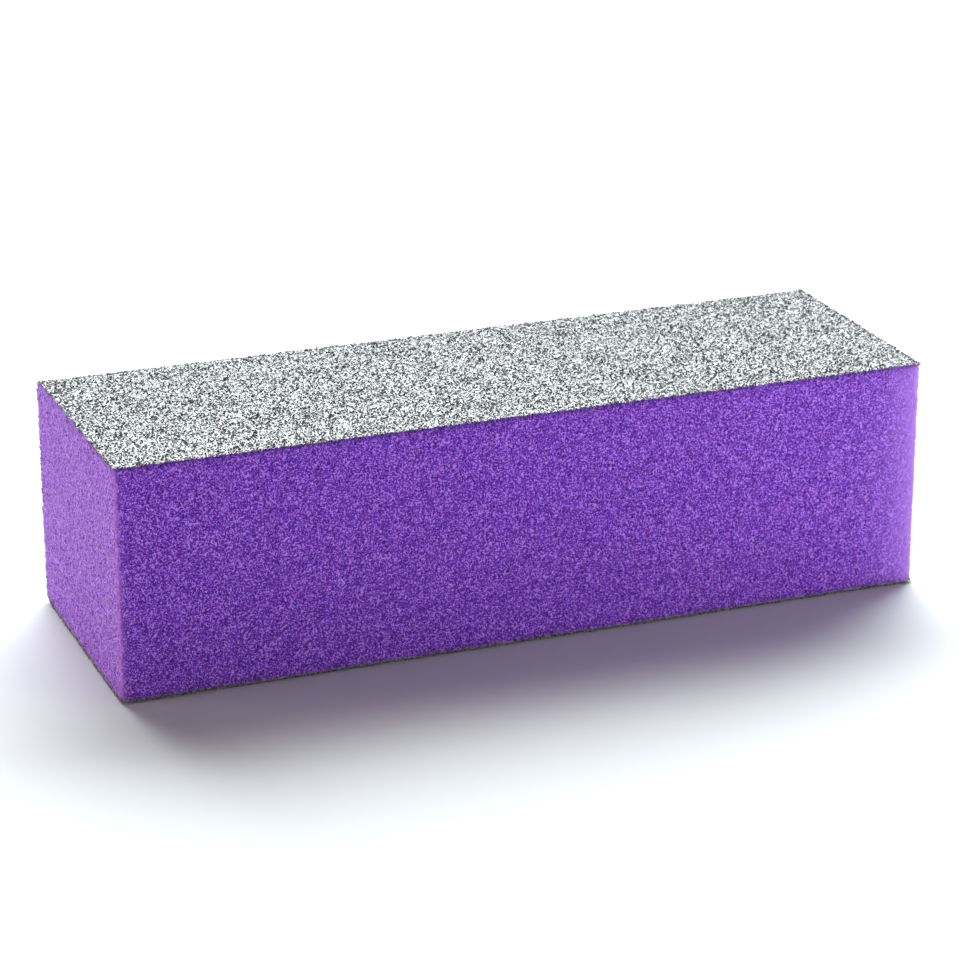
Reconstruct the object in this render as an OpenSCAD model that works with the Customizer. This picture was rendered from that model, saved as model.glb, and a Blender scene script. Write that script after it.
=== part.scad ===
// Nail buffer block: a bar of soft foam with coarse abrasive on three of its four long faces.
// The fourth long face and both ends are bare cut foam.
//
// Frame: origin at the centre of the underside, +X along the block, -Y out of the bare long face,
// +Z up. The abrasive faces are the top (+Z), the underside (Z = 0) and the back (+Y).
// Each abrasive face is built the way coated abrasive is: a make coat of resin on the foam,
// a layer of grain bedded in it, and a thin size coat of resin over the grain.

/* [Block] */
// Overall length, from cut end to cut end
block_length = 90; // [60:1:140]
// Overall width, from the bare long face to the back abrasive face
block_width = 30; // [18:0.5:50]
// Overall height, across the top and bottom abrasive faces
block_height = 25.4; // [15:0.1:40]

/* [Foam] */
// Radius of the foam's long edges that the abrasive wraps round
wrap_radius = 1.0; // [0.4:0.1:3]
// Radius that handling gives the two upright edges of the bare long face
cut_edge_radius = 0.5; // [0.2:0.1:2]

/* [Abrasive] */
// Thickness of the make coat, the resin that bonds the grain to the foam
make_thickness = 0.07; // [0.04:0.01:0.3]
// Thickness of the layer of grain
grit_thickness = 0.2; // [0.1:0.01:0.6]
// Thickness of the size coat, the resin over the grain
size_thickness = 0.03; // [0.02:0.01:0.15]

/* [Hidden] */
$fn = 96;

// How far inside the block's outside surface each layer ends
grit_inset = size_thickness;
make_inset = grit_inset + grit_thickness;
foam_inset = make_inset + make_thickness;

// Outside radius of the wrapped edges, and the centres that all their arcs share
outer_radius = wrap_radius + foam_inset;
arc_y = block_width / 2 - outer_radius;
arc_low_z = outer_radius;
arc_high_z = block_height - outer_radius;

// Extra reach of the shapes that only cut or split others
reach = 2 * outer_radius;

foam_colour = [0.45, 0.28, 0.72];
make_colour = [0.13, 0.09, 0.12];
grit_colour = [0.33, 0.32, 0.35];
size_colour = [0.52, 0.53, 0.55];

// ---- Outlines ----

// Cross-section of the block in the Y-Z plane, taken in by inset on the three abrasive faces.
// The bare face at the front stays put, because the layers end flush with it.
module section(inset) {
    radius = outer_radius - inset;
    front_y = -block_width / 2;
    union() {
        translate([front_y, inset])
            square([arc_y - front_y, block_height - 2 * inset]);
        translate([front_y, arc_low_z])
            square([block_width - inset, arc_high_z - arc_low_z]);
        for (z = [arc_low_z, arc_high_z])
            translate([arc_y, z]) circle(r = radius);
    }
}

// The part of the section plane that belongs to the top face: it is split from the back face
// along the 45 degree line through the arcs' centre.
module top_zone() {
    front_y = -block_width / 2 - reach;
    polygon([
        [front_y, arc_high_z],
        [arc_y, arc_high_z],
        [arc_y + reach, arc_high_z + reach],
        [front_y, arc_high_z + reach],
    ]);
}

// The same for the underside, mirrored about the block's mid height
module bottom_zone() {
    translate([0, block_height]) mirror([0, 1]) top_zone();
}

// The part of the section plane between the two splits
module back_zone() {
    polygon([
        [arc_y, arc_low_z],
        [arc_y + reach, arc_low_z - reach],
        [arc_y + reach, arc_high_z + reach],
        [arc_y, arc_high_z],
    ]);
}

// Outline of the block seen from above, with its two front corners rounded
module plan() {
    half_l = block_length / 2;
    half_w = block_width / 2;
    inner_l = half_l - cut_edge_radius;
    inner_w = half_w - cut_edge_radius;
    union() {
        translate([-half_l, -inner_w]) square([block_length, inner_w + half_w]);
        translate([-inner_l, -half_w]) square([2 * inner_l, block_width]);
        for (x = [-inner_l, inner_l])
            translate([x, -inner_w]) circle(r = cut_edge_radius);
    }
}

// ---- Solids ----

// Runs a Y-Z outline the length of the block, and trims it to the rounded plan
module run_along_block() {
    intersection() {
        translate([-block_length / 2, 0, 0])
            rotate([90, 0, 90])
                linear_extrude(block_length) children();
        translate([0, 0, -reach])
            linear_extrude(block_height + 2 * reach) plan();
    }
}

// One layer of the build-up, between two insets, before it is split between the faces
module layer_section(outside, inside) {
    difference() {
        section(outside);
        section(inside);
    }
}

module make_section() { layer_section(make_inset, foam_inset); }
module grit_section() { layer_section(grit_inset, make_inset); }
module size_section() { layer_section(0, grit_inset); }

// ---- Sub-parts ----

module foam_core() {
    color(foam_colour) run_along_block() section(foam_inset);
}

module top_make_coat() {
    color(make_colour) run_along_block() intersection() { make_section(); top_zone(); }
}

module top_grit() {
    color(grit_colour) run_along_block() intersection() { grit_section(); top_zone(); }
}

module top_size_coat() {
    color(size_colour) run_along_block() intersection() { size_section(); top_zone(); }
}

module back_make_coat() {
    color(make_colour) run_along_block() intersection() { make_section(); back_zone(); }
}

module back_grit() {
    color(grit_colour) run_along_block() intersection() { grit_section(); back_zone(); }
}

module back_size_coat() {
    color(size_colour) run_along_block() intersection() { size_section(); back_zone(); }
}

module bottom_make_coat() {
    color(make_colour) run_along_block() intersection() { make_section(); bottom_zone(); }
}

module bottom_grit() {
    color(grit_colour) run_along_block() intersection() { grit_section(); bottom_zone(); }
}

module bottom_size_coat() {
    color(size_colour) run_along_block() intersection() { size_section(); bottom_zone(); }
}

foam_core();
top_make_coat();
top_grit();
top_size_coat();
back_make_coat();
back_grit();
back_size_coat();
bottom_make_coat();
bottom_grit();
bottom_size_coat();
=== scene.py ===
"""Looks of the nail buffer block: cut purple foam with coarse abrasive on three long faces.

Every length is in metres in the frame's axes: +X along the block, -Y out of the bare long face,
+Z up. Sizes and places come from the CAD nodes' boxes. All shapes are built as arrays of
vertices and faces, and all random draws come from one seed per piece.
"""

import math

import bpy
import numpy as np
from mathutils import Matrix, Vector


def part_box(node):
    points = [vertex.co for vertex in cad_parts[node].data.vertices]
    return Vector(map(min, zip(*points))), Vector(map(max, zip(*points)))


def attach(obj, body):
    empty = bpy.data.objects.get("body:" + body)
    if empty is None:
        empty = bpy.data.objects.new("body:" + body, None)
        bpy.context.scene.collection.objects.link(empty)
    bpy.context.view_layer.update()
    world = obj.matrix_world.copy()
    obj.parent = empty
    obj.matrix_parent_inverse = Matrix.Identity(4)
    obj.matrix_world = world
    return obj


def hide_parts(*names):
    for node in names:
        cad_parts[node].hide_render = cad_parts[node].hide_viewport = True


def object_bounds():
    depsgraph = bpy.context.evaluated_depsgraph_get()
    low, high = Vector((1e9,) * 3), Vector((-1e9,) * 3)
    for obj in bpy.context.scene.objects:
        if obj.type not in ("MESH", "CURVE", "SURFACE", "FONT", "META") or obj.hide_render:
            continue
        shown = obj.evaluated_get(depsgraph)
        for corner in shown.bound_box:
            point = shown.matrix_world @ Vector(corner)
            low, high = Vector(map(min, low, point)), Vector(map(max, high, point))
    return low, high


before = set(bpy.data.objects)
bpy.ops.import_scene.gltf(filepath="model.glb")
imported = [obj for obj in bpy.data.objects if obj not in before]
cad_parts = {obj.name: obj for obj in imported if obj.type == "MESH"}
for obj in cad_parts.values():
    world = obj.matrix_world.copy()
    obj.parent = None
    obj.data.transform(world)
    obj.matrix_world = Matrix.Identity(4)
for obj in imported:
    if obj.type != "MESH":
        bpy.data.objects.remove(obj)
cad_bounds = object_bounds()

MM = 0.001
BODY = "root"
FACES = ("top", "back", "bottom")

# ---------------------------------------------------------------- layout, read from the frame

foam_low, foam_high = (np.array(corner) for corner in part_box("foam_core"))
block_low, block_high = (np.array(corner) for corner in cad_bounds)
END_X = block_high[0]
FRONT_Y, BACK_Y = block_low[1], block_high[1]
LOW_Z, HIGH_Z = block_low[2], block_high[2]
MID_Z = (LOW_Z + HIGH_Z) / 2

# Depth below the outside surface at which the foam and the make coat begin
FOAM_DEPTH = BACK_Y - foam_high[1]
MAKE_DEPTH = BACK_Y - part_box("back_make_coat")[1].y

# The top size coat ends half way round the wrapped edge, which gives that edge's outside radius
EIGHTH_TURN = math.pi / 4
EDGE_RADIUS = (BACK_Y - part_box("top_size_coat")[1].y) / (1 - math.cos(EIGHTH_TURN))
ARC_Y = BACK_Y - EDGE_RADIUS
ARC_HIGH_Z = HIGH_Z - EDGE_RADIUS
ARC_LOW_Z = LOW_Z + EDGE_RADIUS
FOAM_RADIUS = EDGE_RADIUS - FOAM_DEPTH
CUT_EDGE_RADIUS = 0.5 * MM  # of the two upright edges of the bare long face

# Arc length of an eighth turn at the foot of the grain, where grains are spaced
ARC_RUN = (EDGE_RADIUS - MAKE_DEPTH) * EIGHTH_TURN
FLAT_RUN = ARC_Y - FRONT_Y
FACE_RUN = {
    "top": FLAT_RUN + ARC_RUN,
    "bottom": FLAT_RUN + ARC_RUN,
    "back": ARC_HIGH_Z - ARC_LOW_Z + 2 * ARC_RUN,
}


def face_point(face, run, depth):
    """Y and Z at a run along an abrasive face and a depth below it.

    Run starts at the bare face on the top and the bottom, and at the top edge on the back.
    """
    if face == "back":
        height = FACE_RUN["back"] - 2 * ARC_RUN
        upper = run < ARC_RUN
        lower = run > ARC_RUN + height
        over = np.where(upper, run - ARC_RUN, np.where(lower, run - ARC_RUN - height, 0.0))
        angle = math.pi / 2 + over / ARC_RUN * EIGHTH_TURN
        centre_y = np.full_like(run, ARC_Y)
        centre_z = ARC_HIGH_Z - np.clip(run - ARC_RUN, 0, height)
    else:
        angle = np.clip((run - FLAT_RUN) / ARC_RUN, 0, None) * EIGHTH_TURN
        centre_y = FRONT_Y + np.minimum(run, FLAT_RUN)
        centre_z = np.full_like(run, ARC_HIGH_Z)
    y = centre_y + (EDGE_RADIUS - depth) * np.sin(angle)
    z = centre_z + (EDGE_RADIUS - depth) * np.cos(angle)
    return y, LOW_Z + HIGH_Z - z if face == "bottom" else z


# ---------------------------------------------------------------- mesh helpers


def make_mesh(name, vertices, faces, chart, material, nodes, smooth=False):
    """A piece from arrays, riding on the block, that stands for some CAD nodes.

    faces is an array of equal faces, or a list of index lists. chart holds a U, V pair for each
    face corner, which spreads the piece's colours out flat when they are baked.
    """
    mesh = bpy.data.meshes.new(name)
    counts = np.array([len(f) for f in faces], dtype=np.int32)
    flat = np.concatenate([np.asarray(f, dtype=np.int32) for f in faces])
    mesh.vertices.add(len(vertices))
    mesh.vertices.foreach_set("co", np.asarray(vertices, np.float32).ravel())
    mesh.loops.add(len(flat))
    mesh.loops.foreach_set("vertex_index", flat)
    mesh.polygons.add(len(counts))
    starts = np.concatenate([[0], np.cumsum(counts)[:-1]]).astype(np.int32)
    mesh.polygons.foreach_set("loop_start", starts)
    mesh.polygons.foreach_set("use_smooth", np.full(len(counts), smooth))
    mesh.update(calc_edges=True)
    layer = mesh.uv_layers.new(name="OFBake")
    layer.data.foreach_set("uv", np.asarray(chart, np.float32).ravel())
    mesh.validate()
    mesh.materials.append(material)
    piece = bpy.data.objects.new(name, mesh)
    bpy.context.scene.collection.objects.link(piece)
    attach(piece, BODY)
    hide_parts(*nodes)
    return piece


def add_values(piece, name, values):
    """Stores one number per vertex under a name that materials can read."""
    attribute = piece.data.attributes.new(name, "FLOAT", "POINT")
    attribute.data.foreach_set("value", np.asarray(values, np.float32))


def smooth_noise(rng, u, v, cell):
    """Soft random values around 0 at points (u, v), changing over about one cell."""
    cols = int(np.ptp(u) / cell) + 3
    rows = int(np.ptp(v) / cell) + 3
    grid = rng.standard_normal((cols, rows))
    fu, fv = (u - u.min()) / cell, (v - v.min()) / cell
    iu, iv = fu.astype(int), fv.astype(int)
    tu, tv = fu - iu, fv - iv
    tu, tv = tu * tu * (3 - 2 * tu), tv * tv * (3 - 2 * tv)
    near = grid[iu, iv] * (1 - tv) + grid[iu, iv + 1] * tv
    far = grid[iu + 1, iv] * (1 - tv) + grid[iu + 1, iv + 1] * tv
    return near * (1 - tu) + far * tu


# ---------------------------------------------------------------- material helpers


NOISE_ROUGHNESS = 0.6  # how much of each noise is in its finest swells
MIX_COLOUR_SOCKETS, MIX_COLOUR_OUTPUT = (0, 6, 7), 2  # where a Mix node has its factor and colours


class Material:
    """A Principled material under construction, with short calls for its nodes."""

    def __init__(self, name):
        self.material = bpy.data.materials.new(name)
        self.material.use_nodes = True
        self.tree = self.material.node_tree
        self.shader = self.tree.nodes["Principled BSDF"]

    def node(self, kind, **settings):
        made = self.tree.nodes.new(kind)
        for key, value in settings.items():
            setattr(made, key, value)
        return made

    def link(self, source, target):
        self.tree.links.new(source, target)

    def value(self, name):
        """The number that each vertex holds under a name."""
        return self.node("ShaderNodeAttribute", attribute_name=name).outputs["Fac"]

    def noise(self, scale, detail):
        """Soft noise from 0 to 1. scale is the number of swells in a metre."""
        made = self.node("ShaderNodeTexNoise")
        place = self.node("ShaderNodeTexCoord")
        self.link(place.outputs["Object"], made.inputs["Vector"])
        made.inputs["Scale"].default_value = scale
        made.inputs["Detail"].default_value = detail
        made.inputs["Roughness"].default_value = NOISE_ROUGHNESS
        return made.outputs["Fac"]

    def cells(self, scale):
        """Distance from the middle of the nearest cell. scale is the number of cells in a metre."""
        made = self.node("ShaderNodeTexVoronoi", feature="F1")
        place = self.node("ShaderNodeTexCoord")
        self.link(place.outputs["Object"], made.inputs["Vector"])
        made.inputs["Scale"].default_value = scale
        return made.outputs["Distance"]

    def ramp(self, source, stops):
        """A colour ramp over a value: stops are (position, colour) from low to high."""
        made = self.node("ShaderNodeValToRGB")
        elements = made.color_ramp.elements
        elements[0].position, elements[0].color = stops[0][0], (*stops[0][1], 1)
        elements[1].position, elements[1].color = stops[-1][0], (*stops[-1][1], 1)
        for position, colour in stops[1:-1]:
            elements.new(position).color = (*colour, 1)
        self.link(source, made.inputs["Fac"])
        return made.outputs["Color"]

    def maths(self, operation, first, second, third=None):
        """A sum over numbers or sockets."""
        made = self.node("ShaderNodeMath", operation=operation)
        for socket, given in zip(made.inputs, (first, second, third)):
            if given is None:
                continue
            if isinstance(given, (int, float)):
                socket.default_value = given
            else:
                self.link(given, socket)
        return made.outputs["Value"]

    def mix(self, factor, first, second):
        """A blend of two colours, each a tuple or a socket."""
        made = self.node("ShaderNodeMix", data_type="RGBA")
        for place, given in zip(MIX_COLOUR_SOCKETS, (factor, first, second)):
            socket = made.inputs[place]
            if isinstance(given, (int, float)):
                socket.default_value = given
            elif isinstance(given, tuple):
                socket.default_value = (*given, 1)
            else:
                self.link(given, socket)
        return made.outputs[MIX_COLOUR_OUTPUT]

    def span(self, source, low, high):
        """Maps a 0 to 1 value to low to high."""
        return self.maths("MULTIPLY_ADD", source, high - low, low)

    def bump(self, height, distance, strength):
        """Roughens the surface by a height socket, which spans a distance in metres."""
        made = self.node("ShaderNodeBump")
        made.inputs["Distance"].default_value = distance
        made.inputs["Strength"].default_value = strength
        self.link(height, made.inputs["Height"])
        self.link(made.outputs["Normal"], self.shader.inputs["Normal"])

    def set(self, **inputs):
        """Sets shader inputs by name, with _ for a space: a number, a colour or another socket."""
        for key, given in inputs.items():
            socket = self.shader.inputs[key.replace("_", " ")]
            if isinstance(given, (int, float)):
                socket.default_value = given
            elif isinstance(given, tuple):
                socket.default_value = (*given, 1) if len(given) == 3 else given
            else:
                self.link(given, socket)


# ---------------------------------------------------------------- materials

DEEP_PURPLE = (0.058, 0.006, 0.2)
BODY_PURPLE = (0.37, 0.044, 0.8)
BLUE_PURPLE = (0.18, 0.044, 0.89)
# Also the colour of the painted highlight on the upright edges
RIM_LILAC = (0.61, 0.28, 0.94)
# The colour of the painted glow beside the right edge
PAINTED_GLOW_VIOLET = (0.57, 0.27, 1.0)

# Texture counts in a metre, from the broadest patches to the finest specks
PATCH_COUNT, WALL_COUNT, CELL_COUNT, SPECK_COUNT = 1000, 2600, 5600, 6500

# How strongly each of them darkens the foam, the pores and finer cells as painted shade in their hollows
# and the patches and specks as random tone, and the shade below which it turns pale
PATCH_SHADE = (-0.5, 0.65)
PORE_SHADE, CELL_SHADE, SPECK_SHADE = 0.75, 1.5, 4.6
PALE_SHADE, PALE_GAIN = 0.13, 2.0

# How far the foam's colour changes toward the painted highlight on its upright edges, and toward the
# dark band beside the coats, which is painted shade with resin soaked in
CORNER_HIGHLIGHT_SHARE, SOAKED_AND_SHADE_SHARE = 0.8, 0.5

BLUENESS = (-0.9, 1.9)  # cut off at 0 and 1, so most cell walls are fully one purple or the other
FOAM_ROUGHNESS = (0.75, 0.95)
FOAM_FUZZ, FOAM_FUZZ_COLOUR = 0.55, (1.0, 0.84, 0.88)
FOAM_BUMP = 0.06 * MM


def foam_material():
    """Cut foam: pores darkened as painted shade, saturated cell walls, pale rims, with finer cells
    between them whose middles get painted shade too; a painted highlight on the upright edges, a painted
    glow beside the right edge, and painted shade with resin soaked in beside the coats.
    """
    made = Material("cut_foam")
    fine = made.cells(CELL_COUNT)
    patch = made.noise(PATCH_COUNT, detail=4)
    speck = made.noise(SPECK_COUNT, detail=2)
    blueness = made.span(made.noise(WALL_COUNT, detail=1), *BLUENESS)

    # The pores and the finer cells' middles are darkened as painted shade in their hollows; the patches
    # and specks are random tone
    shade = made.maths("MULTIPLY_ADD", made.value("pore"), PORE_SHADE, made.span(patch, *PATCH_SHADE))
    shade = made.maths("MULTIPLY_ADD", made.maths("SUBTRACT", 0.5, fine), CELL_SHADE, shade)
    shade = made.maths("MULTIPLY_ADD", made.maths("SUBTRACT", speck, 0.5), SPECK_SHADE, shade)
    colour = made.mix(shade, made.mix(blueness, BODY_PURPLE, BLUE_PURPLE), DEEP_PURPLE)
    pale = made.maths("MULTIPLY", made.maths("SUBTRACT", PALE_SHADE, shade), PALE_GAIN)
    pale.node.use_clamp = True
    colour = made.mix(pale, colour, RIM_LILAC)

    # Painted glow: a lighter violet inside the right edge that stands in for light through the foam
    colour = made.mix(made.value("painted_glow"), colour, PAINTED_GLOW_VIOLET)
    # Painted highlight: a pale lilac line on the upright edges
    colour = made.mix(made.maths("MULTIPLY", made.value("corner"), CORNER_HIGHLIGHT_SHARE), colour, RIM_LILAC)
    # Painted shade under the coats' edges, with resin soaked into the foam there: a darker band beside
    # the coats
    colour = made.mix(made.maths("MULTIPLY", made.value("soaked"), SOAKED_AND_SHADE_SHARE), colour, DEEP_PURPLE)
    made.set(Base_Color=colour, Roughness=made.span(patch, *FOAM_ROUGHNESS))
    made.set(Specular_IOR_Level=0.3, Sheen_Weight=FOAM_FUZZ, Sheen_Roughness=0.45)
    made.set(Sheen_Tint=FOAM_FUZZ_COLOUR)
    made.bump(made.maths("ADD", fine, speck), FOAM_BUMP, 1.0)
    return made.material


PALEST_GRAIN = (0.56, 0.55, 0.5)
GRAIN_PATCH_COUNT, PATCH_TONES = 260, (0.6, 1.4)  # patches in a metre, and their darkest and palest
GRAIN_ROUGHNESS = (0.2, 0.5)
GRAIN_INDEX = 2.5  # of refraction, close to silicon carbide's


def grain_material(name, dark, light):
    """Silicon carbide grain: each grain has its own tone and polish, and a very high index."""
    made = Material(name)
    patch = made.noise(GRAIN_PATCH_COUNT, detail=2)
    tone = made.maths("MULTIPLY", made.value("tone"), made.span(patch, *PATCH_TONES))
    colour = made.ramp(tone, ((0.0, dark), (0.75, light), (1.0, PALEST_GRAIN)))
    made.set(Base_Color=colour, Roughness=made.span(made.value("polish"), *GRAIN_ROUGHNESS))
    made.set(IOR=GRAIN_INDEX)
    return made.material


RESIN_PATCH_COUNT, RESIN_LUMP_COUNT = 900, 5200  # in a metre
RESIN_BUMP = 0.03 * MM


def resin_material(name, dark, light, roughness):
    """Cured resin with uneven colour and a lumpy gloss."""
    made = Material(name)
    patch = made.noise(RESIN_PATCH_COUNT, detail=3)
    colour = made.ramp(patch, ((0.3, dark), (0.7, light)))
    made.set(Base_Color=colour, Roughness=made.span(patch, roughness - 0.1, roughness + 0.15))
    made.bump(made.noise(RESIN_LUMP_COUNT, detail=2), RESIN_BUMP, 0.7)
    return made.material


# ---------------------------------------------------------------- foam core

FOAM_SEED = 11
PORE_STEP = 0.217 * MM  # spacing of the points, each of which is a cell wall or a pore
PORE_DEPTH = 0.195 * MM  # of the deepest pores
PORE_POWER = 2.2  # a higher power leaves fewer deep pores
PORE_AVOIDANCE = 0.6  # how strongly pores avoid each other
WANDER = 0.4  # how far the points wander from an even grid, in steps
SWELL_SPAN, SWELL_HEIGHT = 1.1 * MM, 0.02 * MM  # soft unevenness of the cut faces

LIP_HEIGHT = (0.15 * MM, 0.3 * MM)  # how far the torn foam stands up in front of the coats
LIP_INSET = 0.16 * MM  # how far behind the skin that lip comes down to the plain strips
BURIED = 0.04 * MM  # how far the plain strips sit inside the make coats
BURIED_PORE = 0.3  # how much painted shade the buried points get, as a share of the deepest pores
STRIP_STOP = 1.0 * MM  # how far short of the front edges the plain strips stop

CORNER_HIGHLIGHT_REACH = 0.25 * MM  # how wide the painted highlight line on the upright edges is
FRONT_PAINTED_GLOW, END_PAINTED_GLOW = 2.2 * MM, 0.6 * MM  # how far the painted glow reaches beside the right edge, a lighter violet that stands in for light showing through the foam
SOAKED_AND_SHADE_REACH = 0.3 * MM  # how far the foam darkens beside the coats, with painted shade under their edges and resin soaked in
BAND_SHARE = 0.45  # of the chart's height, for each of its two bands

# The plan path that the bare skin follows: left end, front and right end, with rounded corners
END_RUN = foam_high[1] - FRONT_Y - CUT_EDGE_RADIUS
CORNER_RUN = CUT_EDGE_RADIUS * math.pi / 2
FRONT_RUN = 2 * (END_X - CUT_EDGE_RADIUS)
PATH_RUN = 2 * END_RUN + 2 * CORNER_RUN + FRONT_RUN

# Points up the skin and along the path, with a spare line all round that is buried in the coats
COLUMNS = int(round(PATH_RUN / PORE_STEP)) // 2 * 2 + 1
ROWS = int(round((foam_high[2] - foam_low[2]) / (PORE_STEP * math.sqrt(3) / 2))) + 3
COLUMN_STEP = PATH_RUN / (COLUMNS - 3)


def foam_path(s):
    """X, Y and the outward normal's X, Y at runs s along the plan path."""
    stops = np.cumsum([END_RUN, CORNER_RUN, FRONT_RUN, CORNER_RUN])
    turn = np.clip((s - stops[0]) / CORNER_RUN, 0, 1) + np.clip((s - stops[2]) / CORNER_RUN, 0, 1)
    angle = math.pi + turn * math.pi / 2
    centre_x = CUT_EDGE_RADIUS - END_X + np.clip(s - stops[1], 0, FRONT_RUN)
    centre_y = foam_high[1] - np.clip(s, 0, END_RUN) + np.clip(s - stops[3], 0, END_RUN)
    normal_x, normal_y = np.cos(angle), np.sin(angle)
    x = centre_x + CUT_EDGE_RADIUS * normal_x
    y = centre_y + CUT_EDGE_RADIUS * normal_y
    return x, y, normal_x, normal_y


def spread_ranks(rng, shape):
    """Evenly spread ranks from 0 to 1 on a grid, where high ones avoid each other."""
    chance = rng.uniform(size=shape)
    around = sum(
        np.roll(chance, (i, j), (0, 1)) for i in (-1, 0, 1) for j in (-1, 0, 1) if (i, j) != (0, 0)
    )
    ranks = np.empty(chance.size)
    order = np.argsort((chance - PORE_AVOIDANCE * around / 8).ravel())
    ranks[order] = np.linspace(0, 1, chance.size)
    return ranks.reshape(shape)


def foam_points(rng):
    """The core's points, in columns round the bare faces and rows up them.

    The outermost columns and rows are buried in the make coats, and the next ones are the lip.
    Returns each point's position, pore share from 0 to 1, and run along the plan path.
    """
    col, row = np.meshgrid(np.arange(COLUMNS), np.arange(ROWS), indexing="ij")
    inner_col = (col > 0) & (col < COLUMNS - 1)
    inner_row = (row > 0) & (row < ROWS - 1)
    inside = inner_col & inner_row
    lip_col = inside & ((col == 1) | (col == COLUMNS - 2))
    lip_row = inside & ((row == 1) | (row == ROWS - 2))

    # Run s along the path and share t of the height, with every other row half a step along
    s = (col - 1 + np.where(row % 2 == 1, 0.5, 0.0)) * COLUMN_STEP
    t = (row - 1) / (ROWS - 3)
    s = s + np.where(inside, rng.uniform(-WANDER, WANDER, s.shape) * COLUMN_STEP, 0.0)
    t = t + np.where(inside, rng.uniform(-WANDER, WANDER, s.shape) / (ROWS - 3), 0.0)
    s = np.where(lip_col | ~inner_row, (col - 1) * COLUMN_STEP, s)
    s, t = np.clip(s, 0, PATH_RUN), np.where(lip_row, np.round(t), np.clip(t, 0, 1))

    # Heights follow the wrapped back edges
    x, y, normal_x, normal_y = foam_path(s)
    lean = np.clip((y - ARC_Y) / FOAM_RADIUS, 0, 1)
    upright = np.sqrt(1 - lean**2)
    drop = FOAM_RADIUS * (1 - upright)
    low, high = foam_low[2] + drop, foam_high[2] - drop
    z = low + (high - low) * t

    torn = rng.uniform(*LIP_HEIGHT, s.shape)
    z = z + np.where(lip_row, torn * upright * np.sign(t - 0.5), 0)
    y = y + np.where(lip_row, torn * lean, np.where(lip_col, torn, 0))
    z = z + np.where(inner_row, 0, BURIED * np.sign(t - 0.5))
    y = y + np.where(inner_col, 0, BURIED)

    pore = spread_ranks(rng, s.shape) ** PORE_POWER
    swell = smooth_noise(rng, s, z, SWELL_SPAN) * SWELL_HEIGHT
    depth = np.where(inside, pore * PORE_DEPTH + swell, LIP_INSET)
    x, y = x - normal_x * depth, y - normal_y * depth
    return np.stack([x, y, z], -1), np.where(inside, pore, BURIED_PORE), s


def skin_triangles(index):
    """Triangles between the points of the grid, which lean with its staggered rows."""
    a, b = index[:-1, :-1], index[1:, :-1]
    c, d = index[1:, 1:], index[:-1, 1:]
    odd = (np.arange(ROWS - 1) % 2 == 1)[None, :, None]
    first = np.where(odd, np.stack([a, b, c], -1), np.stack([a, b, d], -1))
    second = np.where(odd, np.stack([a, c, d], -1), np.stack([b, c, d], -1))
    return np.concatenate([first.reshape(-1, 3), second.reshape(-1, 3)])


def buried_faces(index):
    """Plain faces that close the core under the coats.

    Strips join each column on the left end to its mirror on the right, and one face on the top
    and one underneath take the front.
    """
    last = COLUMNS - 1
    first_front = int((END_RUN - STRIP_STOP) / COLUMN_STEP)
    faces = []
    for i in range(first_front):
        j = last - i
        faces.append((index[i, 0], index[j, 0], index[j - 1, 0], index[i + 1, 0]))
        faces.append((index[i, -1], index[i + 1, -1], index[j - 1, -1], index[j, -1]))
    for k in range(ROWS - 1):
        faces.append((index[0, k], index[0, k + 1], index[last, k + 1], index[last, k]))
    front = np.arange(first_front, last - first_front + 1)
    return faces + [index[front[::-1], 0], index[front, -1]]


def foam_chart(triangles, buried):
    """Lays the skin out in two bands, one above the other. The buried faces share one patch."""
    half = COLUMNS // 2
    cell_col = np.repeat(np.arange(COLUMNS - 1), ROWS - 1)
    band = np.tile(cell_col >= half, 2)[:, None]
    corner_col, corner_row = np.divmod(triangles, ROWS)
    across = (corner_col - band * half) / (COLUMNS - 1 - half)
    up = (corner_row / (ROWS - 1) + band) * BAND_SHARE
    chart = np.stack([across, up], -1).reshape(-1, 2)
    spare = np.array([(0.1, 0.93), (0.2, 0.93), (0.2, 0.97), (0.1, 0.97)])
    return np.concatenate([chart, np.resize(spare, (sum(len(f) for f in buried), 2))])


def build_foam():
    """The core as one closed mesh: pored skin on the bare faces, plain faces under the coats."""
    points, pore, s = foam_points(np.random.default_rng(FOAM_SEED))
    index = np.arange(COLUMNS * ROWS, dtype=np.int32).reshape(COLUMNS, ROWS)
    triangles, buried = skin_triangles(index), buried_faces(index)
    piece = make_mesh(
        "foam_bar", points.reshape(-1, 3), [*triangles, *buried], foam_chart(triangles, buried),
        foam_material(), ["foam_core"], smooth=True,
    )

    left_middle = END_RUN + CORNER_RUN / 2
    right_middle = PATH_RUN - left_middle
    left_corner, right_corner = abs(s - left_middle), abs(s - right_middle)
    painted_glow_reach = np.where(s < right_middle, FRONT_PAINTED_GLOW, END_PAINTED_GLOW)
    z = points[..., 2]
    rim = np.clip(np.minimum(z - foam_low[2], foam_high[2] - z), 0, None)
    add_values(piece, "pore", pore.ravel())
    # The painted highlight on the upright edges
    add_values(piece, "corner", np.exp(-np.minimum(left_corner, right_corner) / CORNER_HIGHLIGHT_REACH).ravel())
    # The painted glow beside the right edge, standing in for light through the foam
    add_values(piece, "painted_glow", np.exp(-right_corner / painted_glow_reach).ravel())
    # The dark band beside the coats: painted shade under their edges, and resin soaked in
    add_values(piece, "soaked", np.exp(-rim / SOAKED_AND_SHADE_REACH).ravel())
    return piece


# ---------------------------------------------------------------- resin layers

RAGGED_EDGE = (0.06 * MM, 0.18 * MM)  # how far a layer stops short of the cut
SHEET_WANDER = 0.3  # how far a layer's points wander from an even grid, in steps

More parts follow.
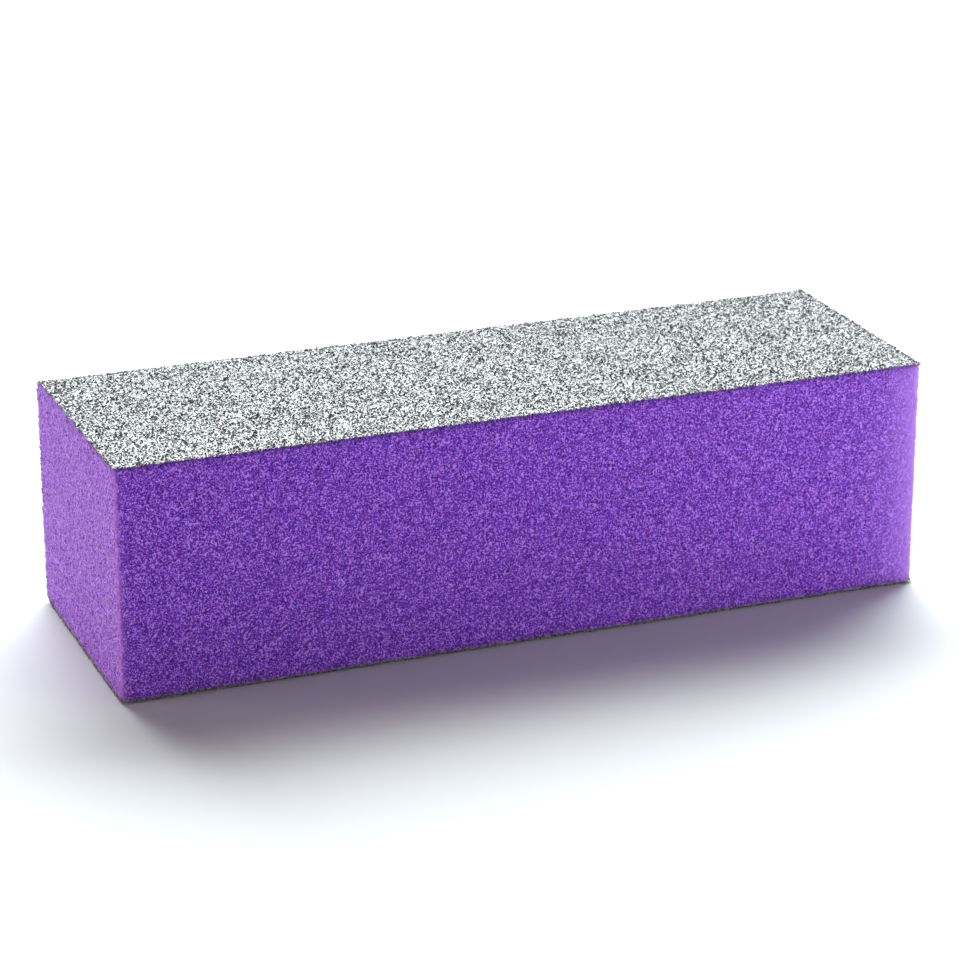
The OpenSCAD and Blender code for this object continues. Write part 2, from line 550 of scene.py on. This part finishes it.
# Each layer's depths at the inside and the outside, the height of its lumps, how far it may run
# down into the foam's cells at the cut edges, and the spacing of its points
MAKE_LAYER = dict(depths=(FOAM_DEPTH, MAKE_DEPTH), lumps=0.02 * MM, soaked=0.14 * MM, step=0.6 * MM)
SIZE_FILM = dict(
    depths=(MAKE_DEPTH - 0.01 * MM, MAKE_DEPTH - 0.08 * MM), lumps=0.04 * MM, soaked=0, step=0.45 * MM
)


def sheet_faces(columns, rows):
    """Faces of a closed sheet whose outside points come first, then the same grid inside."""
    count = columns * rows
    index = np.arange(count, dtype=np.int32).reshape(columns, rows)
    quads = np.stack([index[:-1, :-1], index[1:, :-1], index[1:, 1:], index[:-1, 1:]], -1)
    quads = quads.reshape(-1, 4)
    rim = np.concatenate([index[:, 0], index[-1, 1:], index[-2::-1, -1], index[0, -2:0:-1]])
    after = np.roll(rim, -1)
    sides = np.stack([rim, rim + count, after + count, after], -1)
    return np.concatenate([quads, quads[:, ::-1] + count, sides])


def build_sheet(face, name, node, material, slot, seed, depths, lumps, soaked, step):
    """A closed sheet over one abrasive face, with a lumpy outside and ragged cut edges."""
    rng = np.random.default_rng(seed)
    inner, outer = depths
    run_total = FACE_RUN[face]
    columns, rows = int(2 * END_X / step) + 1, int(run_total / step) + 1
    col, row = np.meshgrid(np.arange(columns), np.arange(rows), indexing="ij")
    x = -END_X + 2 * END_X * col / (columns - 1)
    run = run_total * row / (rows - 1)
    at_end = (col == 0) | (col == columns - 1)
    at_front = (row == 0) & (face != "back")
    inside = ~(at_end | (row == 0) | (row == rows - 1))
    x = x + np.where(inside, rng.uniform(-SHEET_WANDER, SHEET_WANDER, x.shape) * step, 0)
    run = run + np.where(inside, rng.uniform(-SHEET_WANDER, SHEET_WANDER, x.shape) * step, 0)
    ragged = rng.uniform(*RAGGED_EDGE, x.shape)
    x = x - np.where(at_end, np.sign(x) * ragged, 0)
    run = run + np.where(at_front, ragged, 0)
    heave = np.where(inside, rng.uniform(-1, 1, x.shape), 0) * lumps
    soak = np.where(inside, 0, -rng.uniform(0, 1, x.shape)) * soaked

    layers = []
    for depth in (outer - heave, inner - soak):
        y, z = face_point(face, run, depth)
        layers.append(np.stack([x, y, z], -1).reshape(-1, 3))
    faces = sheet_faces(columns, rows)
    if face == "bottom":
        faces = faces[:, ::-1]
    chart = np.stack([x + END_X, run], -1).reshape(-1, 2) / (2 * END_X)
    chart = np.tile(chart, (2, 1))[faces].reshape(-1, 2)
    return make_mesh(name, np.concatenate(layers), faces, chart, material, [node])


# ---------------------------------------------------------------- grain

# Unit grain forms: a sharp double pyramid, a wedge and a block
PYRAMID = (
    ((1, 0, 0), (-1, 0, 0), (0, 1, 0), (0, -1, 0), (0, 0, 1), (0, 0, -1)),
    ((0, 2, 4), (2, 1, 4), (1, 3, 4), (3, 0, 4), (2, 0, 5), (1, 2, 5), (3, 1, 5), (0, 3, 5)),
)
WEDGE = (
    ((-1, -0.7, -0.6), (1, -0.7, -0.6), (0, 0.9, -0.6), (-1, -0.7, 0.6), (1, -0.7, 0.6), (0, 0.9, 0.6)),
    ((0, 2, 1), (3, 4, 5), (0, 1, 4), (0, 4, 3), (1, 2, 5), (1, 5, 4), (2, 0, 3), (2, 3, 5)),
)
BLOCK = (
    tuple((0.75 * i, 0.75 * j, 0.75 * k) for k in (-1, 1) for j in (-1, 1) for i in (-1, 1)),
    (
        (0, 2, 1), (1, 2, 3), (4, 5, 6), (5, 7, 6), (0, 1, 4), (1, 5, 4),
        (2, 6, 3), (3, 6, 7), (0, 4, 2), (2, 4, 6), (1, 3, 5), (3, 7, 5),
    ),
)
FORM_SHARES = ((PYRAMID, 0.5), (WEDGE, 0.4), (BLOCK, 0.1))

# Grains on a cut edge sit anywhere within these, which leaves the edge ragged
SPILL_DEPTH = 0.13 * MM
SPILL_INSET = 0.14 * MM
EDGE_CLEAR = 0.09 * MM  # how far inside the cut edges the other grains start

GRAIN_WANDER = 0.48  # how far grains wander from an even grid, as a share of the pitch
GRAINS_KEPT = 0.96  # the others fell off
SEAT_SHARE = (0.36, 0.52)  # how much of a grain's size stands above where it is seated
STRETCH = (0.62, 1.0)  # a grain's three sides, as shares of its size
POINT_STRETCH, POINT_WANDER = (0.72, 1.28), 0.16  # how the points of a grain's form vary
FORM_SCALE = 1.25  # makes up for what the varied forms lose

# The two shape numbers of the beta spread that each of these draws follows
SIZE_SPREAD, TONE_SPREAD, POLISH_SPREAD = (1.8, 2.4), (1.1, 2.6), (1.2, 1.6)

# Spacing, range of sizes and depth of seat below the grain layer's foot for each grain size, and
# the spacing of the extra grains along the cut edges
COARSE_GRAIN = dict(pitch=0.345 * MM, sizes=(0.19 * MM, 0.31 * MM), sink=0.03 * MM)
FINE_GRAIN = dict(pitch=0.35 * MM, sizes=(0.12 * MM, 0.2 * MM), sink=0.0, edge_spacing=0.16 * MM)


def random_turns(rng, count):
    """Random rotation matrices, evenly spread, from random quaternions."""
    q = rng.standard_normal((count, 4))
    w, x, y, z = (q / np.linalg.norm(q, axis=1, keepdims=True)).T
    rows = (
        (1 - 2 * (y * y + z * z), 2 * (x * y - w * z), 2 * (x * z + w * y)),
        (2 * (x * y + w * z), 1 - 2 * (x * x + z * z), 2 * (y * z - w * x)),
        (2 * (x * z - w * y), 2 * (y * z + w * x), 1 - 2 * (x * x + y * y)),
    )
    return np.stack([np.stack(r, -1) for r in rows], 1)


def edge_places(rng, face, spacing):
    """X, run and depth of extra grains along a face's cut edges, which break up their outline."""
    run_total = FACE_RUN[face]
    along_ends = int(run_total / spacing)
    along_front = 0 if face == "back" else int(2 * END_X / spacing)
    inset = rng.uniform(0, SPILL_INSET, 2 * along_ends + along_front)
    end_x = rng.choice((-1, 1), 2 * along_ends) * (END_X - inset[: 2 * along_ends])
    x = np.concatenate([end_x, rng.uniform(-END_X, END_X, along_front)])
    run = np.concatenate([rng.uniform(0, run_total, 2 * along_ends), inset[2 * along_ends:]])
    return x, run, rng.uniform(0, 1, len(x)) * SPILL_DEPTH


def grain_places(rng, face, pitch, edge_spacing):
    """X and run of every grain on a face, and the depths of those spilled on its cut edges."""
    columns = int(2 * END_X / pitch)
    rows = int(FACE_RUN[face] / pitch)
    col, row = np.meshgrid(np.arange(columns), np.arange(rows), indexing="ij")
    col = col.ravel() + 0.5 + rng.uniform(-GRAIN_WANDER, GRAIN_WANDER, col.size)
    row = row.ravel() + 0.5 + rng.uniform(-GRAIN_WANDER, GRAIN_WANDER, row.size)
    first_x = EDGE_CLEAR - END_X
    first_run = 0 if face == "back" else EDGE_CLEAR
    x = first_x + col * (-2 * first_x / columns)
    run = first_run + row * ((FACE_RUN[face] - first_run) / rows)
    kept = rng.permutation(col.size)[: int(GRAINS_KEPT * col.size)]
    x, run, spilled = x[kept], run[kept], np.zeros(0)
    if edge_spacing:
        edge_x, edge_run, spilled = edge_places(rng, face, edge_spacing)
        x, run = np.concatenate([edge_x, x]), np.concatenate([edge_run, run])
    return x, run, spilled


def build_grains(face, name, material, seed, pitch, sizes, sink, edge_spacing=None):
    """One layer of separate angular grains over a face."""
    rng = np.random.default_rng(seed)
    x, run, spilled = grain_places(rng, face, pitch, edge_spacing)
    count = len(x)
    size = sizes[0] + (sizes[1] - sizes[0]) * rng.beta(*SIZE_SPREAD, count)
    seat = MAKE_DEPTH + sink - size * rng.uniform(*SEAT_SHARE, count)
    seat[: len(spilled)] = spilled
    y, z = face_point(face, run, seat)
    centre = np.stack([x, y, z], -1)
    stretch = rng.uniform(*STRETCH, (count, 3)) * size[:, None] / 2
    mixed = rng.permutation(count)
    centre, stretch = centre[mixed], stretch[mixed]
    turns = random_turns(rng, count)
    tone = rng.beta(*TONE_SPREAD, count)
    polish = rng.beta(*POLISH_SPREAD, count)

    vertices, triangles, owners, tones, polishes = [], [], [], [], []
    start, base = 0, 0
    for form, share in FORM_SHARES:
        end = count if form == BLOCK else start + int(count * share)
        points, corners = np.array(form[0], float), np.array(form[1])
        number = end - start
        shaped = points[None] * rng.uniform(*POINT_STRETCH, (number, len(points), 1))
        shaped = shaped + rng.uniform(-POINT_WANDER, POINT_WANDER, shaped.shape)
        shaped = shaped * stretch[start:end, None, :] * FORM_SCALE
        shaped = np.einsum("nij,nkj->nki", turns[start:end], shaped)
        vertices.append((shaped + centre[start:end, None, :]).reshape(-1, 3))
        offsets = base + np.arange(number)[:, None, None] * len(points)
        triangles.append((corners[None] + offsets).reshape(-1, 3))
        owners.append(np.repeat(np.arange(start, end), len(corners)))
        tones.append(np.repeat(tone[start:end], len(points)))
        polishes.append(np.repeat(polish[start:end], len(points)))
        base += number * len(points)
        start = end

    # On the chart each grain has a small square of its own, and its faces share one triangle
    side = math.ceil(math.sqrt(count))
    owner = np.concatenate(owners)
    corners = np.array([(0.15, 0.15), (0.85, 0.15), (0.5, 0.85)])
    chart = np.stack([owner % side, owner // side], -1)[:, None, :] + corners[None]
    piece = make_mesh(
        name, np.concatenate(vertices), np.concatenate(triangles), chart.reshape(-1, 2) / side,
        material, [face + "_grit"],
    )
    add_values(piece, "tone", np.concatenate(tones))
    add_values(piece, "polish", np.concatenate(polishes))
    return piece


# ---------------------------------------------------------------- stage


FLOOR_REACH = 3.0  # from the middle to each side
FLOOR_DROP = 0.12 * MM  # leaves room for the grain that stands out of the underside
FLOOR_FADE = (0.12, 0.42)  # distances from the middle between which the floor turns white
FLOOR_SHADES = ((0.3, (0.6, 0.6, 0.61)), (0.7, (0.63, 0.63, 0.64)))


def build_floor():
    """A pale floor that turns plain white, to the camera only, where the lamps stop reaching."""
    mesh = bpy.data.meshes.new("floor")
    r, z = FLOOR_REACH, LOW_Z - FLOOR_DROP
    mesh.from_pydata([(-r, -r, z), (r, -r, z), (r, r, z), (-r, r, z)], [], [(0, 1, 2, 3)])
    made = Material("pale_floor")
    made.set(Base_Color=made.ramp(made.noise(3, detail=3), FLOOR_SHADES), Roughness=0.7)
    distance = made.node("ShaderNodeVectorMath", operation="LENGTH")
    made.link(made.node("ShaderNodeTexCoord").outputs["Object"], distance.inputs[0])
    far = made.node("ShaderNodeMapRange", interpolation_type="SMOOTHSTEP")
    far.inputs["From Min"].default_value, far.inputs["From Max"].default_value = FLOOR_FADE
    made.link(distance.outputs["Value"], far.inputs["Value"])
    seen = made.node("ShaderNodeLightPath").outputs["Is Camera Ray"]
    made.set(Emission_Color=(1.0, 1.0, 1.0))
    made.set(Emission_Strength=made.maths("MULTIPLY", far.outputs["Result"], seen))
    mesh.materials.append(made.material)
    floor = bpy.data.objects.new("floor", mesh)
    bpy.context.scene.collection.objects.link(floor)


def aim(thing):
    """Turns a light or a camera to look at the middle of the block."""
    direction = Vector((0, 0, MID_Z)) - thing.location
    thing.rotation_euler = direction.to_track_quat("-Z", "Y").to_euler()


# Name, place, width and height, power in watts, and colour
SOFTBOXES = (
    ("back_top_key", (0.2, 0.5, 0.48), (1.0, 0.6), 21.0, (0.91, 0.99, 1.0)),
    ("left_fill", (-0.6, 0.05, 0.08), (0.4, 0.4), 3.1, (1.0, 0.81, 0.72)),
    ("right_fill", (0.17, -0.19, 0.05), (0.08, 0.08), 0.275, (0.97, 0.97, 1.0)),
)
SKY_STRENGTH = 0.07  # of the even light from all round


def add_softbox(name, place, size, power, colour):
    light = bpy.data.lights.new(name, "AREA")
    light.shape = "RECTANGLE"
    light.size, light.size_y = size
    light.energy = power
    light.color = colour
    box = bpy.data.objects.new(name, light)
    bpy.context.scene.collection.objects.link(box)
    box.location = place
    aim(box)


def build_world():
    """Even white light that is dim for the object and full white behind it."""
    world = bpy.data.worlds.new("studio")
    bpy.context.scene.world = world
    world.use_nodes = True
    tree = world.node_tree
    background = tree.nodes["Background"]
    background.inputs["Color"].default_value = (1, 1, 1, 1)
    path = tree.nodes.new("ShaderNodeLightPath")
    level = tree.nodes.new("ShaderNodeMapRange")
    level.inputs["To Min"].default_value = SKY_STRENGTH
    tree.links.new(path.outputs["Is Camera Ray"], level.inputs["Value"])
    tree.links.new(level.outputs["Result"], background.inputs["Strength"])


CAMERA_AZIMUTH = math.radians(-21.4)  # round to the left of straight in front
CAMERA_ELEVATION = math.radians(20.5)
CAMERA_DISTANCE = 0.365
CAMERA_LENS = 126  # millimetres
FOCUS_DISTANCE = 0.338  # on the near left corner, so that the far corner is a little soft
FOCUS_STOP = 110


def build_camera():
    camera = bpy.data.objects.new("camera", bpy.data.cameras.new("camera"))
    camera.data.lens = CAMERA_LENS
    camera.data.clip_start = 0.01
    camera.data.dof.use_dof = True
    camera.data.dof.focus_distance = FOCUS_DISTANCE
    camera.data.dof.aperture_fstop = FOCUS_STOP
    level = CAMERA_DISTANCE * math.cos(CAMERA_ELEVATION)
    camera.location = (
        level * math.sin(CAMERA_AZIMUTH),
        -level * math.cos(CAMERA_AZIMUTH),
        MID_Z + CAMERA_DISTANCE * math.sin(CAMERA_ELEVATION),
    )
    bpy.context.scene.collection.objects.link(camera)
    aim(camera)
    bpy.context.scene.camera = camera


# ---------------------------------------------------------------- assembly

build_foam()

FACE_SEEDS = (100, 200, 300)  # each is the start of a face's own seeds

make_resin = resin_material("make_resin", (0.035, 0.014, 0.07), (0.11, 0.045, 0.2), 0.5)
size_resin = resin_material("size_resin", (0.02, 0.013, 0.02), (0.07, 0.05, 0.065), 0.3)
coarse_grain = grain_material("coarse_grain", (0.04, 0.03, 0.038), (0.27, 0.29, 0.3))
fine_grain = grain_material("fine_grain", (0.03, 0.022, 0.03), (0.2, 0.215, 0.22))

for seed, face in zip(FACE_SEEDS, FACES):
    build_sheet(
        face, face + "_make_layer", face + "_make_coat", make_resin, "make_resin", seed + 1, **MAKE_LAYER
    )
    build_sheet(
        face, face + "_size_film", face + "_size_coat", size_resin, "size_resin", seed + 2, **SIZE_FILM
    )
    build_grains(face, face + "_coarse_grain", coarse_grain, seed + 3, **COARSE_GRAIN)
    build_grains(face, face + "_fine_grain", fine_grain, seed + 4, **FINE_GRAIN)

build_floor()
build_world()
for softbox in SOFTBOXES:
    add_softbox(*softbox)
bpy.context.scene.view_settings.view_transform = "Standard"
build_camera()
